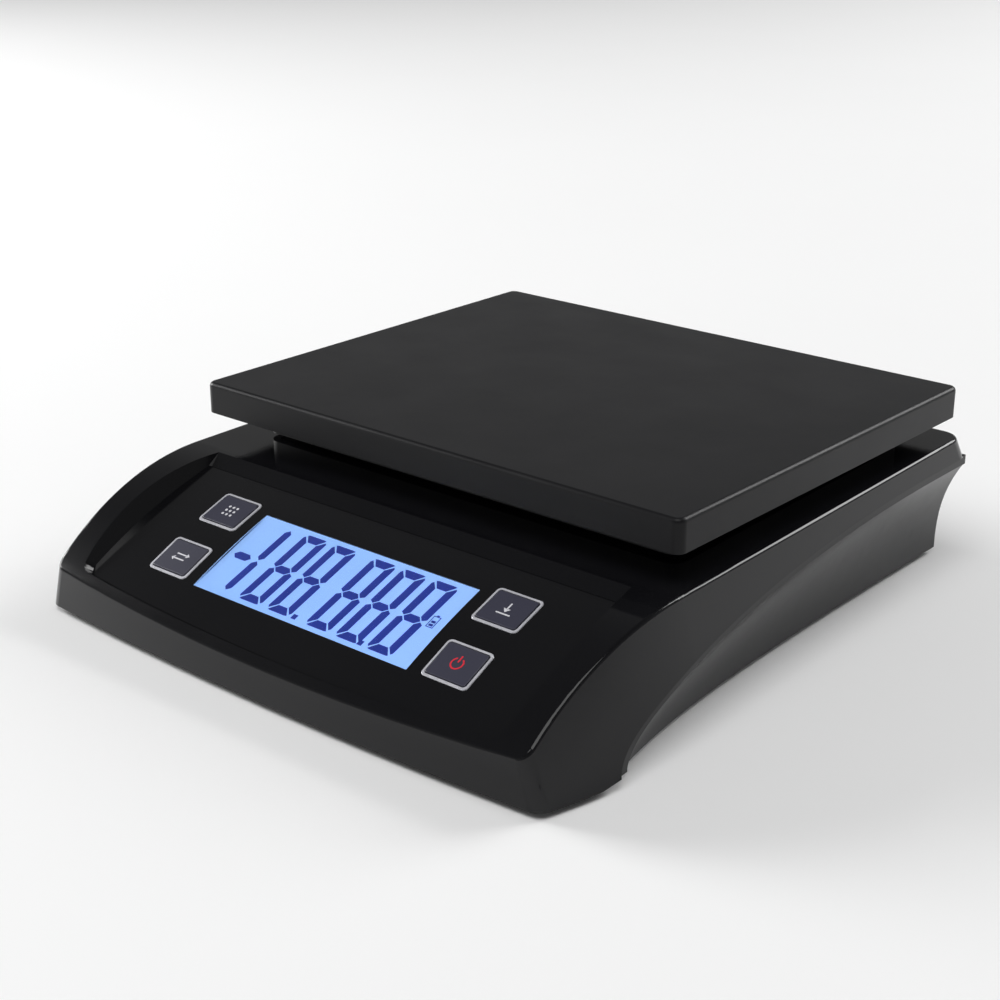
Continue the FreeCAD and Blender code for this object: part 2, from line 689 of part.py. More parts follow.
# ================================================================ platform, carrier, load cell
def platform():
    """A shallow upturned tray with ribs around the carrier, tied to its skirt at the front and rear."""
    top = rounded(PLATE_SIZE[0], PLATE_SIZE[1], PLATE_TOP - PLATE_DEEP, PLATE_TOP, PLATE_CORNER, 0, PLATE_Y)
    rim = [e for e in top.Edges if min(p.Z for p in e.Vertexes) > PLATE_TOP - 0.01]
    top = top.makeFillet(PLATE_EDGE, rim)
    hollow = rounded(PLATE_SIZE[0] - 2 * PLATE_WALL, PLATE_SIZE[1] - 2 * PLATE_WALL,
                     PLATE_TOP - PLATE_DEEP - 1, PLATE_TOP - PLATE_SKIN, 1.2, 0, PLATE_Y)
    plate = top.cut(hollow)
    ribs = []
    low = PLATE_TOP - PLATE_DEEP + 3.0
    high = PLATE_TOP - PLATE_SKIN + 0.2
    side = CARRIER_SIZE[0] / 2 + RIB_PLAY
    end = CARRIER_SIZE[1] / 2 + RIB_PLAY
    for sign in (-1, 1):
        x = sorted((sign * side, sign * (side + RIB_THICK)))
        ribs.append(box(x[0], x[1], PLATE_Y - 60, PLATE_Y + 60, low, high))
        y = sorted((PLATE_Y + sign * end, PLATE_Y + sign * (end + RIB_THICK)))
        ribs.append(box(-80, 80, y[0], y[1], low, high))
        for x in (-60.0, -20.0, 20.0, 60.0):
            y = sorted((PLATE_Y + sign * (end + RIB_THICK - 0.1), PLATE_Y + sign * (PLATE_SIZE[1] / 2 - 1)))
            ribs.append(box(x - 1, x + 1, y[0], y[1], low, high))
    return fuse([plate] + ribs)


def carrier_block(inset, top):
    width = CARRIER_SIZE[0] - 2 * inset
    depth = CARRIER_SIZE[1] - 2 * inset
    return rounded(width, depth, 40, top, max(5.0 - inset, 1.0), 0, PLATE_Y)


def platform_carrier():
    """A ribbed tray whose boss reaches down through the deck to the load cell."""
    above_gap = along_x([
        line((-60, deck_z(-60) + CARRIER_GAP, 0), (140, deck_z(140) + CARRIER_GAP, 0)),
        line((140, deck_z(140) + CARRIER_GAP, 0), (140, 90, 0)),
        line((140, 90, 0), (-60, 90, 0)),
        line((-60, 90, 0), (-60, deck_z(-60) + CARRIER_GAP, 0)),
    ])
    tray = carrier_block(0, CARRIER_TOP).cut(carrier_block(2.6, CARRIER_TOP - 3.0))
    ribs = []
    for x in (-44.0, 0.0, 44.0):
        ribs.append(box(x - 1.1, x + 1.1, PLATE_Y - 64, PLATE_Y + 64, 50, CARRIER_TOP - 2))
    for y in (-11.0, 13.0, 55.0):
        ribs.append(box(-86, 86, y - 1.1, y + 1.1, 50, CARRIER_TOP - 2))
    for x, y in stop_spots():
        ribs.append(rounded(13, 13, 40, CARRIER_TOP - 2, 2.0, x, y))
    tray = fuse([tray] + ribs).common(above_gap)
    boss = rounded(BOSS_SIZE[0], BOSS_SIZE[1], BOSS_BOTTOM, CARRIER_TOP - 1, 2.5, 0, 1.0)
    tray = fuse([tray, boss])
    for y in CELL_SCREWS_FREE:
        tray = tray.cut(rod(2.2, 0, y, 20, 80)).cut(rod(4.2, 0, y, BOSS_BOTTOM + 5, 80))
    return largest(tray)


def load_cell():
    """An aluminium bending beam with the usual pair of joined holes."""
    width, length, height = CELL_SIZE
    y0 = PLATE_Y - length / 2
    beam = box(-width / 2, width / 2, y0, y0 + length, CELL_BOTTOM, CELL_BOTTOM + height)
    beam = beam.makeChamfer(0.4, beam.Edges)
    centre_z = CELL_BOTTOM + height / 2
    for y in (PLATE_Y - CELL_BORE_HALF, PLATE_Y + CELL_BORE_HALF):
        beam = beam.cut(Part.makeCylinder(CELL_BORE, 20, Vector(-10, y, centre_z), Vector(1, 0, 0)))
    slot = box(-10, 10, PLATE_Y - CELL_BORE_HALF, PLATE_Y + CELL_BORE_HALF, centre_z - 1.6, centre_z + 1.6)
    beam = beam.cut(slot)
    for y in CELL_SCREWS_FIXED:
        beam = beam.cut(rod(1.9, 0, y, 0, 22))
    for y in CELL_SCREWS_FREE:
        beam = beam.cut(rod(1.9, 0, y, 18, 40))
    return beam


def strain_cover():
    """White sealant over the gauges on the beam's top."""
    top = CELL_BOTTOM + CELL_SIZE[2]
    pad = rounded(11.0, 30.0, top, top + 1.3, 2.0, 0, PLATE_Y)
    return pad.makeFillet(0.6, [e for e in pad.Edges if min(p.Z for p in e.Vertexes) > top + 1.2])


def lower_spacer():
    spacer = rounded(16, 24, CELL_BOTTOM - 4.0, CELL_BOTTOM, 1.0, 0, 64)
    for y in CELL_SCREWS_FIXED:
        spacer = spacer.cut(rod(2.2, 0, y, 0, 30))
    return spacer


def upper_spacer():
    spacer = rounded(16, 22, CELL_BOTTOM + CELL_SIZE[2], BOSS_BOTTOM, 1.0, 0, 1.0)
    for y in CELL_SCREWS_FREE:
        spacer = spacer.cut(rod(2.0, 0, y, 0, 60))
    return spacer


def socket_screw(x, y, seat, tip, head_up):
    """A cap screw: its head rests on seat and its shaft runs to tip."""
    step = 1 if head_up else -1
    shaft = rod(1.8, x, y, min(seat, tip), max(seat, tip))
    head = rod(3.5, x, y, min(seat, seat + 3.6 * step), max(seat, seat + 3.6 * step))
    hexagon = Part.Face(Part.makePolygon([
        Vector(x + 1.6 * math.cos(math.radians(60 * k)), y + 1.6 * math.sin(math.radians(60 * k)), 0)
        for k in range(7)]))
    socket = hexagon.extrude(Vector(0, 0, 2.2))
    socket.translate(Vector(0, 0, seat + 3.6 * step - (2.0 if head_up else 0.2)))
    return shaft.fuse(head).cut(socket).removeSplitter()


def base_screws():
    return Part.makeCompound([socket_screw(0, y, 5.5, 21.5, False) for y in CELL_SCREWS_FIXED])


def carrier_screws():
    tip = CELL_BOTTOM + CELL_SIZE[2] - 7.0
    return Part.makeCompound([socket_screw(0, y, BOSS_BOTTOM + 5, tip, True) for y in CELL_SCREWS_FREE])


def carrier_pad(x, y):
    pad = rod(7.0, x, y, CARRIER_TOP, CARRIER_TOP + PAD_THICK)
    return pad.makeFillet(0.35, [e for e in pad.Edges if e.Vertexes[0].Z > CARRIER_TOP + 0.5])


def stop_bumper(x, y):
    """A rubber pad in the deck that the carrier lands on when overloaded."""
    top = deck_z(y - 6.5) + CARRIER_GAP - STOP_GAP
    return rod(4.5, x, y, deck_z(y) - 1.3, top)


# ================================================================ base pieces
def battery(y, flat_x, turn):
    """A round cell whose flat end is at flat_x; turn 0 points its stud to +X, 180 to -X."""
    can = Part.makeCylinder(AA_RADIUS, AA_LENGTH - 1.4, Vector(0, 0, 0), Vector(1, 0, 0))
    can = can.makeFillet(0.6, [e for e in can.Edges if e.Closed])
    stud = Part.makeCylinder(2.7, 1.6, Vector(AA_LENGTH - 1.6, 0, 0), Vector(1, 0, 0))
    cell = can.fuse(stud).removeSplitter()
    cell.Placement = Placement(Vector(flat_x, y, CELL_AXIS_Z), Rotation(Vector(0, 0, 1), turn))
    return cell


def contact_plate(x, y0, y1):
    return box(x, x + 0.5, y0, y1, DOOR_Z[1] + 2.5, BAY_TOP - 2)


def contact_spring(x, y, turn):
    """A wire spring between a contact plate at x and a cell's flat end."""
    points = []
    for step in range(8 * SPRING_TURNS + 1):
        angle = math.pi * step / 4
        points.append((SPRING_RADIUS * math.cos(angle), SPRING_RADIUS * math.sin(angle),
                       SPRING_WIRE + 0.1 + SPRING_PITCH * step / 8))
    coil = tube(points, SPRING_WIRE)
    seat = Placement(Vector(x, y, CELL_AXIS_Z), Rotation(Vector(0, 1, 0), turn))
    coil.Placement = seat.multiply(coil.Placement)
    return coil


def battery_door():
    """A flat cover with a finger notch; it turns on two tabs along its front edge."""
    x0, x1 = BAY_X[0] - 0.8, BAY_X[1] + 0.8
    y0, y1 = BAY_Y[0] - 0.8, BAY_Y[1] + 0.8
    door = box(x0, x1, y0, y1, DOOR_Z[0], DOOR_Z[1])
    middle = (x0 + x1) / 2
    for step in range(4):
        groove_y = y1 - 6.0 - 2.2 * step
        groove = box(middle - 8, middle + 8, groove_y - 0.5, groove_y + 0.5, DOOR_Z[0] - 1, DOOR_Z[0] + 0.6)
        door = door.cut(groove)
    for x in (x0 + 10, x1 - 10):
        door = door.fuse(box(x - 4, x + 4, y0 + 2.0, y0 + 3.6, DOOR_Z[1] - 0.2, DOOR_Z[1] + 2.2))
    return door.removeSplitter()


def dc_jack():
    front, back = BASE_REAR - 15.0, BASE_REAR - FLANK_WALL - 0.1
    body = box(JACK_X - 5.5, JACK_X + 5.5, front, back, JACK_Z - 5.2, JACK_Z + 5.2)
    collar = Part.makeCylinder(4.1, 3.0, Vector(JACK_X, BASE_REAR - 3.2, JACK_Z), Vector(0, 1, 0))
    bore = Part.makeCylinder(2.9, 12, Vector(JACK_X, BASE_REAR - 10.0, JACK_Z), Vector(0, 1, 0))
    pin = Part.makeCylinder(1.0, 9, Vector(JACK_X, BASE_REAR - 10.5, JACK_Z), Vector(0, 1, 0))
    return body.fuse(collar).cut(bore).fuse(pin).removeSplitter()


def foot(x, y):
    pad = rod(FOOT_RADIUS, x, y, 0, CASE_BOTTOM + 1.0)
    return pad.makeFillet(0.6, [e for e in pad.Edges if e.Vertexes[0].Z < 0.1])


def case_screws():
    screws = []
    for x, y in SCREW_SPOTS:
        shaft = rod(1.3, x, y, 8.0, 24.0)
        head = rod(3.0, x, y, 5.8, 8.0)
        bar = box(x - 1.8, x + 1.8, y - 0.4, y + 0.4, 5, 7)
        cross = box(x - 0.4, x + 0.4, y - 1.8, y + 1.8, 5, 7)
        screws.append(shaft.fuse(head).cut(bar).cut(cross).removeSplitter())
    return Part.makeCompound(screws)


def panel_point(u, v, w):
    p = PANEL.multVec(Vector(u, v, w))
    return (p.x, p.y, p.z)


def load_cell_lead():
    end = panel_point(-30, 18, BOARD_TOP - BOARD_SIZE[2] - 1.7)
    return tube([(-7.7, 52, 19), (-16, 44, 16), (-24, 20, 11), (-25, -20, 10), (-27, -50, 15), end], 1.2)


def battery_lead(index):
    end = panel_point(74 + 4 * index, 14, BOARD_TOP - BOARD_SIZE[2] - 1.2)
    y = BATTERY_Y[index]
    out = BAY_X[1]
    return tube([(out + 0.2, y, 17.5), (out + 3.5, y, 17.5), (out + 6 + index, y - 4, 19), end], 0.6)


def jack_lead():
    end = panel_point(76, 6, BOARD_TOP - BOARD_SIZE[2] - 1.8)
    start = BASE_REAR - 15.5
    first = [(JACK_X, start, JACK_Z), (JACK_X + 1, start - 14, 10)]
    return tube(first + [(66, 40, 8), (74, -20, 8), (76.5, -58, 11), end], 1.0)


# ================================================================ build every node
save("bottom_case", lower_case())
save("upper_case", upper_case())
save("control_panel", control_panel())
save("display_window", display_window())
save("lcd_glass", lcd_glass())
save("backlight", backlight())
save("display_frame", display_frame())
save("contact_strip_front", contact_strip(-1))
save("contact_strip_rear", contact_strip(1))
for key_name, (key_u, key_v) in KEYS.items():
    save("bezel_" + key_name, key_bezel(key_u, key_v))
    save("key_" + key_name, key_cap(key_u, key_v))
save("key_pad_left", key_pad(-1))
save("key_pad_right", key_pad(1))
save("main_board", main_board())
save("board_screws", board_screws())
save("controller_chip", controller_chip())
save("converter_chip", converter_chip())
save("platform", platform())
save("platform_carrier", platform_carrier())
save("load_cell", load_cell())
save("strain_cover", strain_cover())
save("lower_spacer", lower_spacer())
save("upper_spacer", upper_spacer())
save("base_screws", base_screws())
save("carrier_screws", carrier_screws())
for corner, (spot_x, spot_y) in zip(("front_left", "rear_left", "front_right", "rear_right"), stop_spots()):
    save("carrier_pad_" + corner, carrier_pad(spot_x, spot_y))
    save("stop_bumper_" + corner, stop_bumper(spot_x, spot_y))
save("battery_front", battery(BATTERY_Y[0], BAY_X[1] - 0.7 - AA_LENGTH, 0))
save("battery_rear", battery(BATTERY_Y[1], BAY_X[0] + 0.7 + AA_LENGTH, 180))
save("contact_bridge", contact_plate(BAY_X[0] + 0.1, BATTERY_Y[0] - 6, BATTERY_Y[1] + 6))
save("contact_positive", contact_plate(BAY_X[1] - 0.6, BATTERY_Y[0] - 6, BATTERY_Y[0] + 6))
save("contact_negative", contact_plate(BAY_X[1] - 0.6, BATTERY_Y[1] - 6, BATTERY_Y[1] + 6))
save("spring_front", contact_spring(BAY_X[0] + 0.6, BATTERY_Y[0], 90))
save("spring_rear", contact_spring(BAY_X[1] - 0.6, BATTERY_Y[1], -90))
save("battery_door", battery_door())
save("dc_jack", dc_jack())
for corner, (spot_x, spot_y) in zip(("front_left", "front_right", "rear_left", "rear_right"), FOOT_SPOTS):
    save("foot_" + corner, foot(spot_x, spot_y))
save("case_screws", case_screws())
save("load_cell_lead", load_cell_lead())
save("battery_lead_positive", battery_lead(0))
save("battery_lead_negative", battery_lead(1))
save("jack_lead", jack_lead())
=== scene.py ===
"""Looks of a compact counting scale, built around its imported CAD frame. Metres."""

import json
import math

import bmesh
import bpy
from mathutils import Matrix, Vector


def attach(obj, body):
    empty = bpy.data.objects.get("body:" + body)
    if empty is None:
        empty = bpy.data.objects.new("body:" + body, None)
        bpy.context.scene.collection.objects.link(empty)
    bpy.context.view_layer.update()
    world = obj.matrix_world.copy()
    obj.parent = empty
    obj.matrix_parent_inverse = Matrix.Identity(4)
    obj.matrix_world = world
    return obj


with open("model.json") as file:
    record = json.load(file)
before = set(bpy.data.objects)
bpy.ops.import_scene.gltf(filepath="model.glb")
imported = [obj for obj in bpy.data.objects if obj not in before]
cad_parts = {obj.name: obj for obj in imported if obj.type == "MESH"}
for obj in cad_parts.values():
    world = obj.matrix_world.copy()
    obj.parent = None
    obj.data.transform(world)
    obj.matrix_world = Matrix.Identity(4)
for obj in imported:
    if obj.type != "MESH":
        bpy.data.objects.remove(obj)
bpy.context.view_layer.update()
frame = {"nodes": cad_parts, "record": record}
NODES = frame["nodes"]
SCENE = bpy.context.scene
MM = 0.001

# ---------------------------------------------------------------- the control panel's own frame
PANEL_MIDDLE = Vector((0, -89.5, 28.7)) * MM
PANEL_TILT = math.radians(23.46)
PANEL_RADIUS = 270.0 * MM
PANEL = Matrix.Translation(PANEL_MIDDLE) @ Matrix.Rotation(PANEL_TILT, 4, "X")
SURFACE_LIFT = 0.02 * MM

# ---------------------------------------------------------------- keys, in the panel's frame
KEY_SPOTS = {
    "key_count": (-59.4 * MM, 14.0 * MM),
    "key_unit": (-59.4 * MM, -9.6 * MM),
    "key_tare": (59.4 * MM, 14.0 * MM),
    "key_power": (59.4 * MM, -9.6 * MM),
}
KEY_PROUD = 0.45 * MM

# ---------------------------------------------------------------- display figures, mm in the panel's frame
DISPLAY_LEVEL = -1.3
DIGIT_LEFT = (-27.8, -15.0, 1.9, 14.4, 27.2)
DIGIT_WIDTH = 10.1
DIGIT_TOP = 16.2
DIGIT_MIDDLE = 0.2
DIGIT_BOTTOM = -15.1
STROKE = 2.9
SLANT = math.tan(math.radians(3.4))
SEGMENT_GAP = 0.28
HALF_ONE_LEFT = -35.6
POINTS_LEFT = (-4.0, 23.8)
POINT_SIZE = 1.9
MINUS_LEFT = -43.7
MINUS_LENGTH = 7.5
MINUS_V = -0.2
ICON_LEFT = 39.1
ICON_LOW = -0.7
ICON_WIDTH = 2.8
ICON_HEIGHT = 4.6
ICON_WALL = 0.3

# ---------------------------------------------------------------- camera
CAMERA_AZIMUTH = math.radians(40.522)
CAMERA_ELEVATION = math.radians(21.129)
CAMERA_PLACE = Vector((372.1, -445.7, 255.0)) * MM
LENS = 66.34

# ---------------------------------------------------------------- sky, as (sine of the elevation, grey)
SKY = ((0.0, 0.50), (0.2, 0.34), (0.36, 0.22), (0.62, 0.14), (0.78, 0.09), (1.0, 0.09))


# ================================================================ helpers for materials
def new_material(name):
    material = bpy.data.materials.new(name)
    material.use_nodes = True
    tree = material.node_tree
    return material, tree, tree.nodes["Principled BSDF"]


def node(tree, kind, **settings):
    made = tree.nodes.new(kind)
    for name, value in settings.items():
        if name in made.inputs:
            made.inputs[name].default_value = value
        else:
            setattr(made, name, value)
    return made


def object_point(tree, stretch=(1, 1, 1)):
    """Object coordinates, stretched."""
    place = node(tree, "ShaderNodeTexCoord")
    mapping = node(tree, "ShaderNodeMapping")
    mapping.inputs["Scale"].default_value = stretch
    tree.links.new(place.outputs["Object"], mapping.inputs["Vector"])
    return mapping.outputs["Vector"]


def noise(tree, scale, detail=3.0, rough=0.5, stretch=(1, 1, 1)):
    made = node(tree, "ShaderNodeTexNoise", Scale=scale, Detail=detail, Roughness=rough)
    tree.links.new(object_point(tree, stretch), made.inputs["Vector"])
    return made.outputs["Fac"]


def ramp(tree, source, low, high):
    """Map a 0 to 1 texture to the range from low to high."""
    made = node(tree, "ShaderNodeMapRange")
    made.inputs["From Min"].default_value = 0.3
    made.inputs["From Max"].default_value = 0.7
    made.inputs["To Min"].default_value = low
    made.inputs["To Max"].default_value = high
    tree.links.new(source, made.inputs["Value"])
    return made.outputs["Result"]


def mix_colours(tree, factor, dark, light):
    made = node(tree, "ShaderNodeMix", data_type="RGBA")
    first, second = [socket for socket in made.inputs if socket.type == "RGBA"]
    first.default_value = (*dark, 1)
    second.default_value = (*light, 1)
    tree.links.new(factor, made.inputs["Factor"])
    return [socket for socket in made.outputs if socket.type == "RGBA"][0]


def bump(tree, shader, height, distance, strength):
    made = node(tree, "ShaderNodeBump", Strength=strength, Distance=distance)
    tree.links.new(height, made.inputs["Height"])
    tree.links.new(made.outputs["Normal"], shader.inputs["Normal"])


def moulded(name, dark, light, rough, spread, grain=0.0, grain_scale=2500.0, specular=0.5):
    """Moulded plastic or rubber: mottled colour, uneven gloss and an optional fine grain."""
    material, tree, shader = new_material(name)
    shader.inputs["Specular IOR Level"].default_value = specular
    colour = mix_colours(tree, noise(tree, 14.0), dark, light)
    tree.links.new(colour, shader.inputs["Base Color"])
    gloss = ramp(tree, noise(tree, 35.0, 5.0), rough - spread, rough + spread)
    tree.links.new(gloss, shader.inputs["Roughness"])
    if grain > 0:
        bump(tree, shader, noise(tree, grain_scale, 2.0), 0.0001, grain)
    return material


def metal(name, colour, rough, stretch, scratch=0.05, metallic=1.0):
    """Metal or metallic paint with streaks along one direction."""
    material, tree, shader = new_material(name)
    shader.inputs["Metallic"].default_value = metallic
    darker = tuple(0.8 * value for value in colour)
    streaks = noise(tree, 180.0, 4.0, 0.6, stretch)
    tree.links.new(mix_colours(tree, streaks, darker, colour), shader.inputs["Base Color"])
    tree.links.new(ramp(tree, streaks, rough * 0.75, rough * 1.25), shader.inputs["Roughness"])
    bump(tree, shader, streaks, 0.00002, scratch)
    return material


def backlit_blue():
    """The display's lit background: a faintly uneven light blue."""
    material, tree, shader = new_material("display_blue")
    glow = mix_colours(tree, noise(tree, 22.0, 2.0), (0.27, 0.49, 0.93), (0.33, 0.55, 1.0))
    tree.links.new(glow, shader.inputs["Base Color"])
    tree.links.new(glow, shader.inputs["Emission Color"])
    shader.inputs["Emission Strength"].default_value = 0.62
    shader.inputs["Roughness"].default_value = 0.12
    return material


def liquid_crystal():
    """Switched-on segments: deep blue, with the backlight just bleeding through."""
    material, tree, shader = new_material("display_segment")
    ink = mix_colours(tree, noise(tree, 60.0, 2.0), (0.012, 0.03, 0.26), (0.016, 0.038, 0.33))
    tree.links.new(ink, shader.inputs["Base Color"])
    tree.links.new(ink, shader.inputs["Emission Color"])
    shader.inputs["Emission Strength"].default_value = 0.5
    shader.inputs["Roughness"].default_value = 0.12
    return material


def clear_window():
    material, tree, shader = new_material("window_clear")
    shader.inputs["Transmission Weight"].default_value = 1.0
    shader.inputs["IOR"].default_value = 1.47
    tint = mix_colours(tree, noise(tree, 8.0), (0.97, 0.985, 1.0), (1.0, 1.0, 1.0))
    tree.links.new(tint, shader.inputs["Base Color"])
    tree.links.new(ramp(tree, noise(tree, 90.0), 0.0, 0.03), shader.inputs["Roughness"])
    return material


def circuit_board():
    """Green solder mask over faintly raised copper tracks."""
    material, tree, shader = new_material("board_green")
    bricks = node(tree, "ShaderNodeTexBrick", Scale=260.0)
    tree.links.new(object_point(tree), bricks.inputs["Vector"])
    bricks.inputs["Color1"].default_value = (0.012, 0.11, 0.045, 1)
    bricks.inputs["Color2"].default_value = (0.014, 0.13, 0.055, 1)
    bricks.inputs["Mortar"].default_value = (0.03, 0.22, 0.1, 1)
    tree.links.new(bricks.outputs["Color"], shader.inputs["Base Color"])
    shader.inputs["Roughness"].default_value = 0.35
    bump(tree, shader, bricks.outputs["Fac"], 0.00005, 0.4)
    return material


def battery_sleeve():
    """A shrink sleeve: plain grey with broad dark bands."""
    material, tree, shader = new_material("battery_sleeve")
    bands = node(tree, "ShaderNodeTexWave", Scale=6.0, Distortion=0.0)
    tree.links.new(object_point(tree), bands.inputs["Vector"])
    cut = node(tree, "ShaderNodeMath", operation="GREATER_THAN")
    cut.inputs[1].default_value = 0.72
    tree.links.new(bands.outputs["Fac"], cut.inputs[0])
    sleeve = mix_colours(tree, cut.outputs[0], (0.30, 0.31, 0.33), (0.05, 0.08, 0.12))
    tree.links.new(sleeve, shader.inputs["Base Color"])
    shader.inputs["Roughness"].default_value = 0.28
    shader.inputs["Metallic"].default_value = 0.4
    return material


# ================================================================ one material per slot
def build_materials():
    black = dict(dark=(0.004, 0.004, 0.005), light=(0.006, 0.006, 0.007))
    return {
        "case_gloss_black": moulded("case_gloss_black", **black, rough=0.1, spread=0.015, specular=0.35),
        "case_lower_black": moulded("case_lower_black", **black, rough=0.2, spread=0.03, specular=0.25),
        "panel_gloss_black": moulded("panel_gloss_black", **black, rough=0.1, spread=0.015),
        "platform_black": moulded(
            "platform_black", (0.005, 0.005, 0.006), (0.007, 0.007, 0.008), 0.36, 0.03,
            grain=0.12, grain_scale=3200.0, specular=0.2
        ),
        "carrier_black": moulded(
            "carrier_black", (0.006, 0.006, 0.007), (0.009, 0.009, 0.010), 0.5, 0.05, 0.2
        ),
        "key_slate": moulded(
            "key_slate", (0.036, 0.036, 0.056), (0.042, 0.042, 0.066), 0.32, 0.03, 0.08, 3000.0
        ),
        "bezel_silver": metal("bezel_silver", (0.78, 0.78, 0.84), 0.28, (1, 1, 1), 0.02, 0.4),
        "display_window": clear_window(),
        "lcd_glass": backlit_blue(),
        "backlight": moulded("backlight", (0.3, 0.5, 0.85), (0.4, 0.6, 0.95), 0.4, 0.05),
        "frame_plastic": moulded("frame_plastic", (0.01, 0.01, 0.01), (0.016, 0.016, 0.016), 0.55, 0.05, 0.3),
        "elastomer": moulded("elastomer", (0.2, 0.2, 0.21), (0.3, 0.3, 0.31), 0.7, 0.05, 0.2),
        "silicone": moulded("silicone", (0.36, 0.36, 0.37), (0.45, 0.45, 0.46), 0.6, 0.06, 0.1),
        "circuit_board": circuit_board(),
        "screw_steel": metal("screw_steel", (0.62, 0.62, 0.64), 0.28, (1, 1, 8)),
        "screw_black": metal("screw_black", (0.05, 0.05, 0.055), 0.38, (1, 1, 8)),
        "epoxy_black": moulded("epoxy_black", (0.008, 0.008, 0.008), (0.013, 0.013, 0.013), 0.4, 0.06),
        "cell_aluminium": metal("cell_aluminium", (0.74, 0.75, 0.76), 0.3, (1, 12, 1), 0.15),
        "sealant": moulded("sealant", (0.62, 0.62, 0.6), (0.78, 0.78, 0.75), 0.5, 0.08, 0.3, 900.0),
        "spacer_steel": metal("spacer_steel", (0.5, 0.5, 0.52), 0.35, (10, 1, 1), 0.12),
        "battery_jacket": battery_sleeve(),
        "contact_nickel": metal("contact_nickel", (0.72, 0.7, 0.64), 0.2, (1, 1, 6)),
        "jack_black": moulded("jack_black", (0.01, 0.01, 0.01), (0.015, 0.015, 0.015), 0.45, 0.05, 0.2),
        "lead_grey": moulded("lead_grey", (0.2, 0.2, 0.21), (0.28, 0.28, 0.29), 0.5, 0.05),
        "lead_red": moulded("lead_red", (0.42, 0.015, 0.015), (0.5, 0.02, 0.02), 0.4, 0.05),
        "lead_black": moulded("lead_black", (0.012, 0.012, 0.012), (0.018, 0.018, 0.018), 0.4, 0.05),
        "rubber_black": moulded(
            "rubber_black", (0.012, 0.012, 0.012), (0.022, 0.022, 0.022), 0.75, 0.06, 0.3
        ),
        "foot_rubber": moulded(
            "foot_rubber", (0.014, 0.014, 0.014), (0.028, 0.028, 0.028), 0.78, 0.06, 0.35
        ),
    }


MATERIALS = build_materials()
MATERIALS["segment"] = liquid_crystal()
MATERIALS["symbol_white"] = moulded("symbol_white", (0.62, 0.62, 0.66), (0.72, 0.72, 0.76), 0.45, 0.05)
MATERIALS["symbol_red"] = moulded("symbol_red", (0.6, 0.012, 0.03), (0.72, 0.02, 0.045), 0.4, 0.05)


def finish_cad_nodes():
    """Give every CAD node the finished material of its slot."""
    for part in frame["record"]["subparts"]:
        mesh = NODES[part["node"]].data
        mesh.materials.clear()
        mesh.materials.append(MATERIALS[part["material_slot"]])


# ================================================================ helpers for pieces
def panel_drop(v):
    """How far the curved panel lies below its middle, v up the slope."""
    return PANEL_RADIUS - math.sqrt(PANEL_RADIUS ** 2 - v ** 2)


def add_piece(name, mesh, material, body):
    """Put a mesh in the scene as a piece that rides on a body of the record."""
    piece = bpy.data.objects.new(name, mesh)
    SCENE.collection.objects.link(piece)
    mesh.materials.append(MATERIALS[material])
    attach(piece, body)


def plates(name, outlines, thick, place, material, body):
    """Thin raised plates, one for each closed outline; place maps (u, v, lift) to space."""
    build = bmesh.new()
    for outline in outlines:
        low = [build.verts.new((u, v, 0)) for u, v in outline]
        high = [build.verts.new((u, v, thick)) for u, v in outline]
        build.faces.new(high)
        build.faces.new(low[::-1])
        count = len(outline)
        for k in range(count):
            build.faces.new((low[k], low[(k + 1) % count], high[(k + 1) % count], high[k]))
    bmesh.ops.recalc_face_normals(build, faces=build.faces)
    for vertex in build.verts:
        vertex.co = place(*vertex.co)
    mesh = bpy.data.meshes.new(name)
    build.to_mesh(mesh)
    build.free()
    add_piece(name, mesh, material, body)


# ================================================================ display
def slanted(u, v):
    return (u + (v - DIGIT_BOTTOM) * SLANT, v)


def scaled(points):
    return [(u * MM, v * MM) for u, v in points]


def bar(u0, v0, u1, v1):
    return [(u0, v0), (u0, v1), (u1, v1), (u1, v0)]


def end_stroke(left, end, up):
    """The stroke along the top (up = 1) or the bottom (up = -1) of a figure."""
    right = left + DIGIT_WIDTH
    tip = 0.55 * STROKE
    inner = end - up * STROKE
    return [
        (left + tip * 0.4 + SEGMENT_GAP, end - up * 0.2),
        (left + tip + SEGMENT_GAP, end),
        (right - tip - SEGMENT_GAP, end),
        (right - tip * 0.4 - SEGMENT_GAP, end - up * 0.2),
        (right - STROKE - SEGMENT_GAP, inner),
        (left + STROKE + SEGMENT_GAP, inner),
    ]


def middle_stroke(left):
    """The pointed stroke across a figure's middle."""
    right = left + DIGIT_WIDTH
    half = STROKE / 2
    return [
        (left + half + SEGMENT_GAP, DIGIT_MIDDLE),
        (left + STROKE + SEGMENT_GAP, DIGIT_MIDDLE + half),
        (right - STROKE - SEGMENT_GAP, DIGIT_MIDDLE + half),
        (right - half - SEGMENT_GAP, DIGIT_MIDDLE),
        (right - STROKE - SEGMENT_GAP, DIGIT_MIDDLE - half),
        (left + STROKE + SEGMENT_GAP, DIGIT_MIDDLE - half),
    ]


def upright_stroke(outer, side, end, up):
    """The stroke from a figure's middle to its end, on the left (side = -1) or right (side = 1)."""
    half = STROKE / 2
    tip = 0.55 * STROKE
    inner = outer - side * STROKE
    return [
        (outer, DIGIT_MIDDLE + up * (half * 0.6 + SEGMENT_GAP)),
        (outer, end - up * tip),
        (outer - side * tip * 0.35, end - up * 0.3 * STROKE),
        (inner, end - up * (STROKE + SEGMENT_GAP)),
        (inner, DIGIT_MIDDLE + up * (half + SEGMENT_GAP)),
        (outer - side * half, DIGIT_MIDDLE + up * SEGMENT_GAP),
    ]


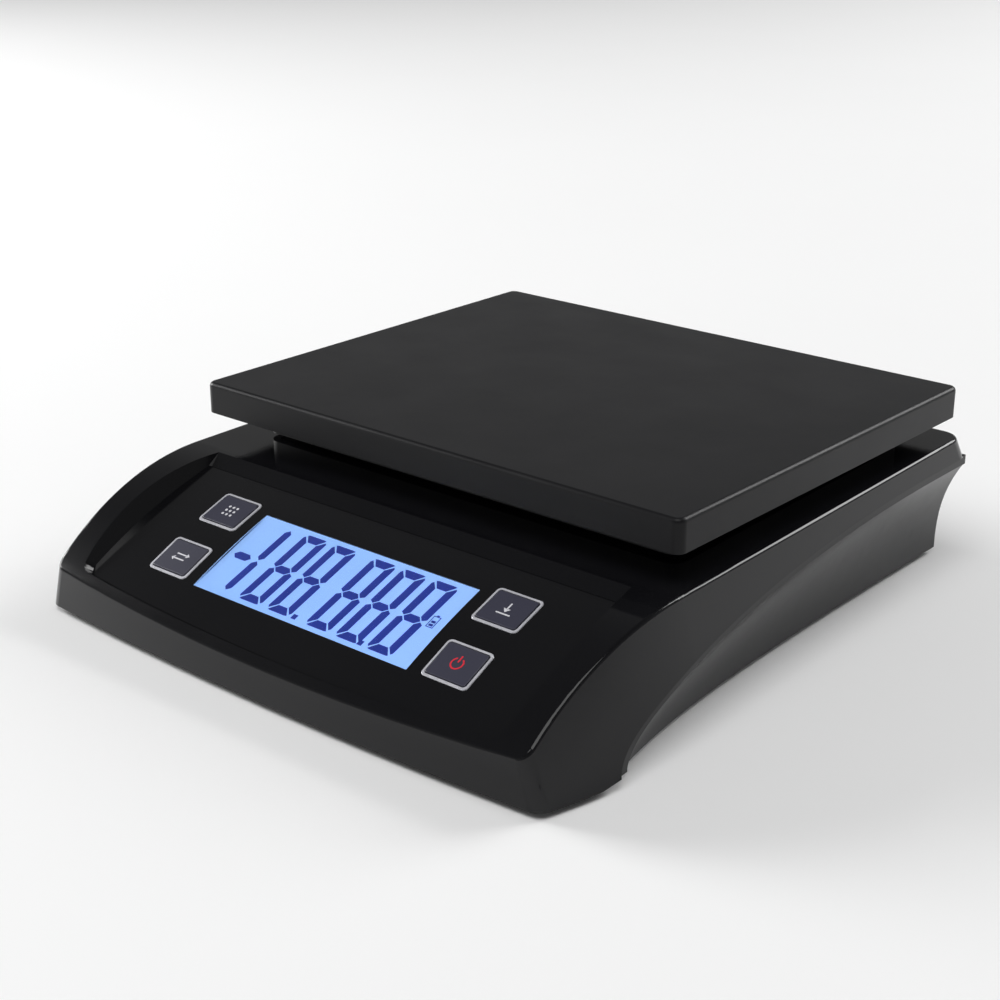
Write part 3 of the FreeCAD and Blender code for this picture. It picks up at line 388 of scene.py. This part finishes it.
def digit_segments(left):
    """The seven strokes of a figure whose lower left corner is at left."""
    ends = ((DIGIT_TOP, 1), (DIGIT_BOTTOM, -1))
    strokes = [end_stroke(left, end, up) for end, up in ends]
    strokes.append(middle_stroke(left))
    for outer, side in ((left, -1), (left + DIGIT_WIDTH, 1)):
        strokes += [upright_stroke(outer, side, end, up) for end, up in ends]
    return strokes


def half_one():
    """The half figure one: two pointed uprights."""
    left, middle, right = HALF_ONE_LEFT, HALF_ONE_LEFT + STROKE / 2, HALF_ONE_LEFT + STROKE
    taper = STROKE * 0.45
    spans = ((DIGIT_MIDDLE + SEGMENT_GAP, DIGIT_TOP - 1.0), (DIGIT_BOTTOM + 1.0, DIGIT_MIDDLE - SEGMENT_GAP))
    strokes = []
    for low, high in spans:
        strokes.append([
            (left, low + taper),
            (left, high - taper),
            (middle, high),
            (right, high - taper),
            (right, low + taper),
            (middle, low),
        ])
    return strokes


def minus_sign():
    left, right = MINUS_LEFT, MINUS_LEFT + MINUS_LENGTH
    half = STROKE / 2
    return [
        (left, MINUS_V),
        (left + half, MINUS_V + half),
        (right - half, MINUS_V + half),
        (right, MINUS_V),
        (right - half, MINUS_V - half),
        (left + half, MINUS_V - half),
    ]


def battery_icon():
    """An upright cell with a stud and two charge bars."""
    left, right = ICON_LEFT, ICON_LEFT + ICON_WIDTH
    low, high = ICON_LOW, ICON_LOW + ICON_HEIGHT
    wall = ICON_WALL
    walls = [
        bar(left, low, left + wall, high),
        bar(right - wall, low, right, high),
        bar(left + wall, low, right - wall, low + wall),
        bar(left + wall, high - wall, right - wall, high),
    ]
    stud = bar(left + 3 * wall, high, right - 3 * wall, high + 0.5)
    charge = [bar(left + 2 * wall, low + lift, right - 2 * wall, low + lift + 0.9) for lift in (0.6, 1.9)]
    return walls + [stud] + charge


def build_display():
    """The figures on the flat glass under the window."""
    def lay(u, v, lift):
        return PANEL @ Vector((u, v, DISPLAY_LEVEL * MM + SURFACE_LIFT + lift))

    shapes = half_one()
    for left in DIGIT_LEFT:
        shapes += digit_segments(left)
    shapes = [[slanted(u, v) for u, v in shape] for shape in shapes]
    shapes.append(minus_sign())
    for left in POINTS_LEFT:
        shapes.append(bar(left, DIGIT_BOTTOM, left + POINT_SIZE, DIGIT_BOTTOM + POINT_SIZE))
    shapes += battery_icon()
    figures = [scaled(shape) for shape in shapes]
    plates("display_figures", figures, 0.02 * MM, lay, "segment", "base")


# ================================================================ signs on the keys
def ring(radius, width, start, stop, steps):
    """A stroke along part of a circle, as one outline in mm, angles in degrees."""
    angles = [math.radians(start + (stop - start) * k / steps) for k in range(steps + 1)]
    far, near = radius + width / 2, radius - width / 2
    outer = [(far * math.cos(angle), far * math.sin(angle)) for angle in angles]
    inner = [(near * math.cos(angle), near * math.sin(angle)) for angle in angles]
    return outer + inner[::-1]


def disc(u, v, radius):
    turns = [2 * math.pi * k / 14 for k in range(14)]
    return [(u + radius * math.cos(turn), v + radius * math.sin(turn)) for turn in turns]


def power_sign():
    """A broken ring with a bar through the break."""
    return [ring(2.0, 0.55, 120, 420, 28), bar(-0.28, 0.4, 0.28, 2.9)]


def count_sign():
    """Three by three dots, for counted pieces."""
    return [disc(1.8 * (k % 3 - 1), 1.8 * (k // 3 - 1), 0.5) for k in range(9)]


def unit_sign():
    """Two opposite arrows, for changing between units."""
    arrows = []
    for sign, v in ((1, 1.0), (-1, -1.0)):
        arrows.append(bar(-2.4, v - 0.25, 2.4, v + 0.25))
        arrows.append([(sign * 3.3, v), (sign * 2.0, v + 0.95), (sign * 2.0, v - 0.95)])
    return arrows


def tare_sign():
    """An arrow pointing down onto a line, for setting the reading to nought."""
    head = [(-1.3, 0.1), (1.3, 0.1), (0, -1.4)]
    return [bar(-2.6, -2.4, 2.6, -1.9), bar(-0.27, -0.2, 0.27, 2.5), head]


def build_key_signs():
    """The sign on each key's cap, moving with the key."""
    signs = {
        "key_count": (count_sign(), "symbol_white"),
        "key_unit": (unit_sign(), "symbol_white"),
        "key_tare": (tare_sign(), "symbol_white"),
        "key_power": (power_sign(), "symbol_red"),
    }
    for key, (shapes, colour) in signs.items():
        u, v = KEY_SPOTS[key]
        seat = PANEL @ Matrix.Translation((u, v, -panel_drop(v))) @ Matrix.Rotation(-v / PANEL_RADIUS, 4, "X")

        def lay(x, y, lift, seat=seat):
            return seat @ Vector((x, y, KEY_PROUD + SURFACE_LIFT / 2 + lift))

        plates(key + "_sign", [scaled(shape) for shape in shapes], 0.03 * MM, lay, colour, key)


# ================================================================ floor, light and camera
def build_stage():
    bpy.ops.mesh.primitive_grid_add(x_subdivisions=2, y_subdivisions=2, size=8.0)
    floor = bpy.context.object
    floor.name = "floor"
    material, tree, shader = new_material("floor_pale")
    shade = mix_colours(tree, noise(tree, 3.0), (0.88, 0.88, 0.88), (0.91, 0.91, 0.91))
    tree.links.new(shade, shader.inputs["Base Color"])
    shader.inputs["Roughness"].default_value = 0.6
    floor.data.materials.append(material)


def area_light(name, place, target, size, power):
    """A square light facing its target."""
    light = bpy.data.lights.new(name, "AREA")
    light.shape = "SQUARE"
    light.size = size
    light.energy = power
    lamp = bpy.data.objects.new(name, light)
    lamp.location = place
    lamp.rotation_euler = (Vector(target) - Vector(place)).to_track_quat("-Z", "Y").to_euler()
    SCENE.collection.objects.link(lamp)


def build_light():
    """A studio that is pale at the horizon and dark overhead, with a soft light from each side."""
    world = bpy.data.worlds.new("studio")
    SCENE.world = world
    world.use_nodes = True
    tree = world.node_tree
    place = node(tree, "ShaderNodeTexCoord")
    split = node(tree, "ShaderNodeSeparateXYZ")
    tree.links.new(place.outputs["Generated"], split.inputs["Vector"])
    sky = node(tree, "ShaderNodeValToRGB")
    tree.links.new(split.outputs["Z"], sky.inputs["Fac"])
    stops = sky.color_ramp.elements
    for end, (height, grey) in zip((stops[0], stops[1]), (SKY[0], SKY[-1])):
        end.position = height
        end.color = (grey, grey, grey, 1)
    for height, grey in SKY[1:-1]:
        stops.new(height).color = (grey, grey, grey, 1)
    tree.links.new(sky.outputs["Color"], tree.nodes["Background"].inputs["Color"])
    area_light("key_light", (-2.0, -0.45, 0.75), (0, 0, 0), 0.9, 44)
    area_light("top_light", (0.35, -0.7, 2.2), (0, 0, 0), 1.6, 24)
    area_light("back_light", (0.8, 2.6, 1.6), (0.4, 2.0, 0), 1.6, 60)


def build_camera():
    camera = bpy.data.cameras.new("camera")
    camera.lens = LENS
    camera.sensor_width = 36.0
    camera.clip_start = 0.01
    holder = bpy.data.objects.new("camera", camera)
    look = Vector((
        -math.sin(CAMERA_AZIMUTH) * math.cos(CAMERA_ELEVATION),
        math.cos(CAMERA_AZIMUTH) * math.cos(CAMERA_ELEVATION),
        -math.sin(CAMERA_ELEVATION),
    ))
    holder.location = CAMERA_PLACE
    holder.rotation_euler = look.to_track_quat("-Z", "Y").to_euler()
    SCENE.collection.objects.link(holder)
    SCENE.camera = holder


finish_cad_nodes()
build_display()
build_key_signs()
build_stage()
build_light()
build_camera()
SCENE.view_settings.view_transform = "Standard"
